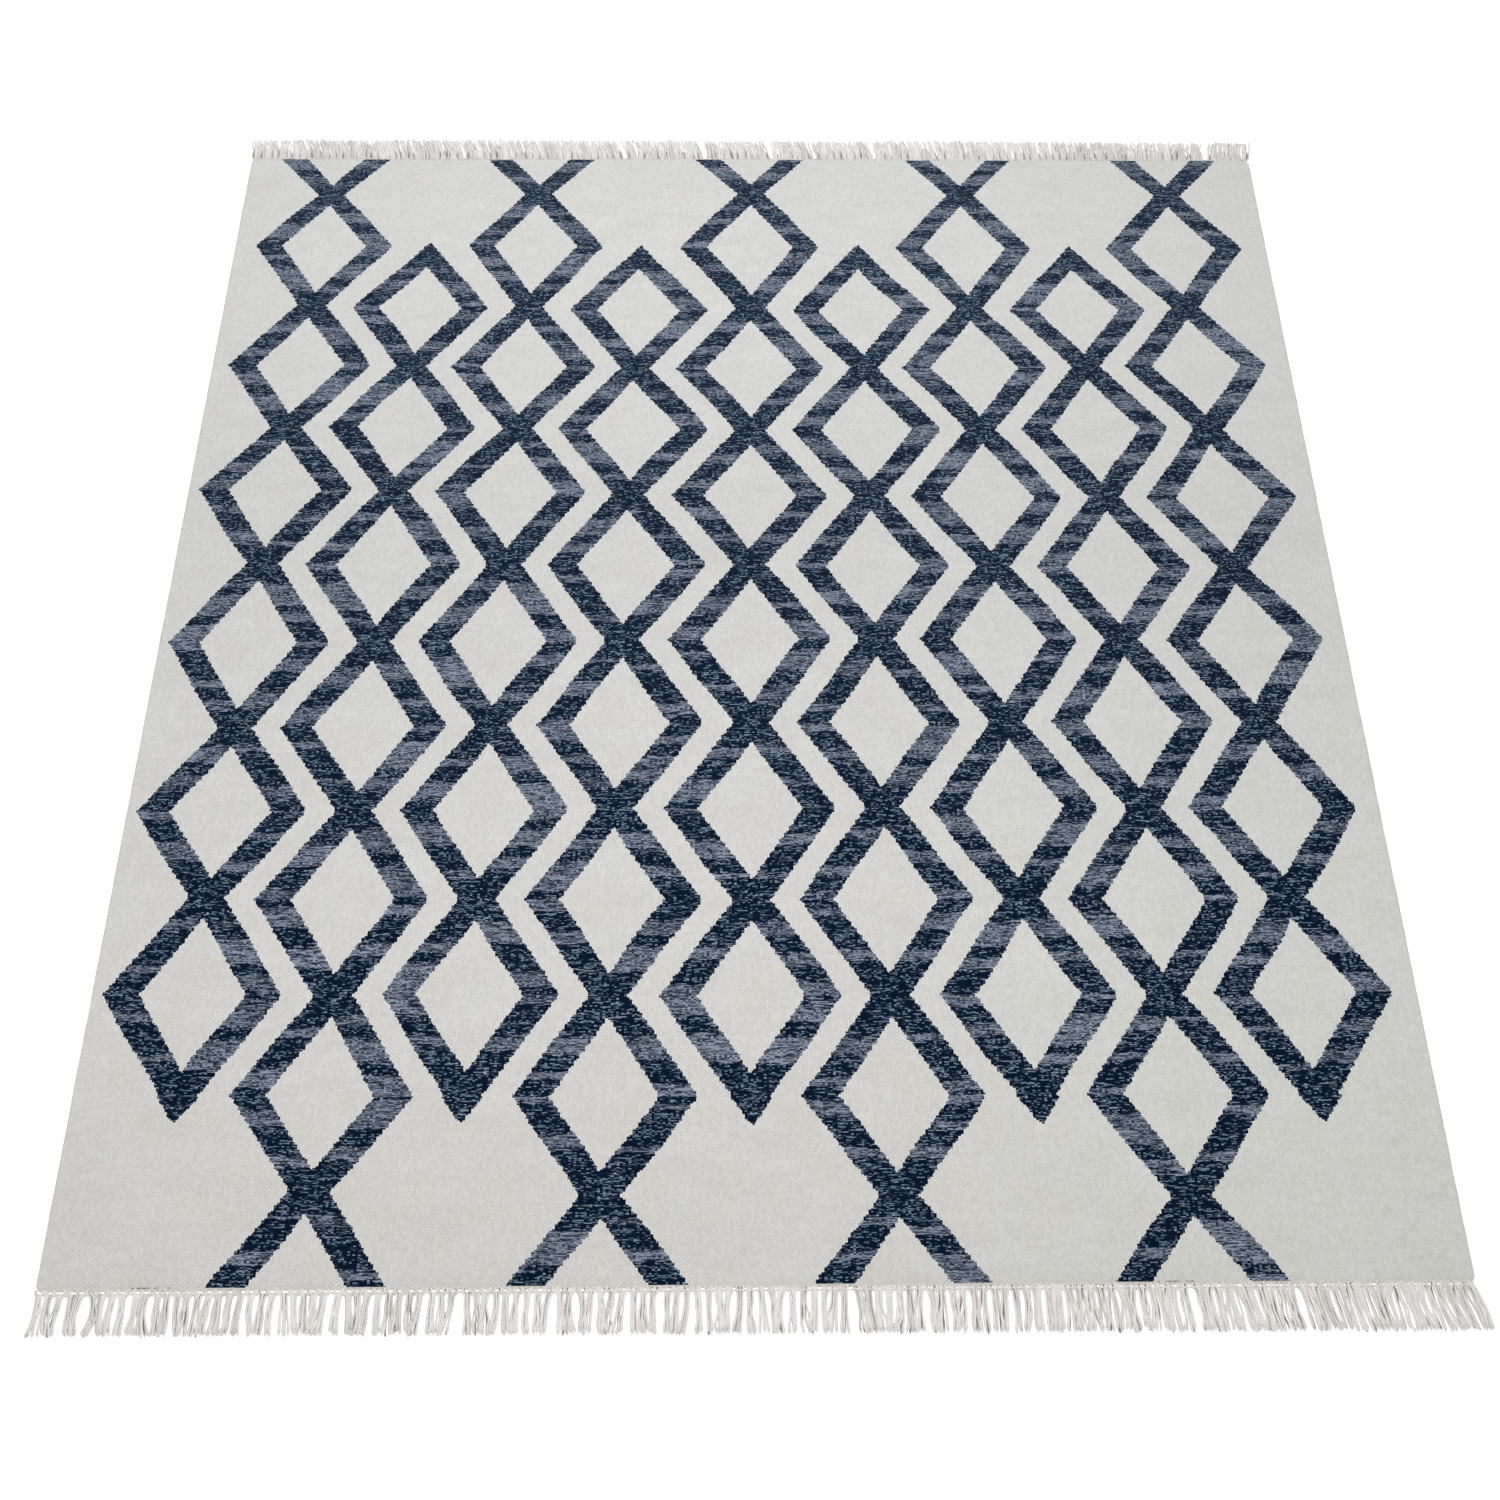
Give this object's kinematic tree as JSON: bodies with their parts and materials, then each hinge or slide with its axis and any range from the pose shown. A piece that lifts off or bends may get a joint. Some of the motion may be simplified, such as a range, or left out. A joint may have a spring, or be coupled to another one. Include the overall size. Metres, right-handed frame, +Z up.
{
  "type": "fringed flatweave rug",
  "caption": "Rectangular flat-woven kilim rug with a diamond lattice in navy and grey on off-white, with a warp fringe on both short ends.",
  "frame": {"origin": "under the middle of the rug, on the floor that it lies on", "axes": "+Y along the rug's length to its far end, +X across it to the right, +Z up from its underside to its face"},
  "size_m": [1.607, 2.4342, 0.004],
  "materials": {
    "kilim_weave": "weft-faced flat weave of undyed off-white yarn with a diamond lattice in space-dyed navy and grey-violet yarn, matte",
    "warp_fringe": "undyed cotton warp yarn, loosely bundled, matte"
  },
  "bodies": {
    "root": {"woven_field": "kilim_weave", "fringe_front": "warp_fringe", "fringe_back": "warp_fringe"}
  },
  "joints": []
}
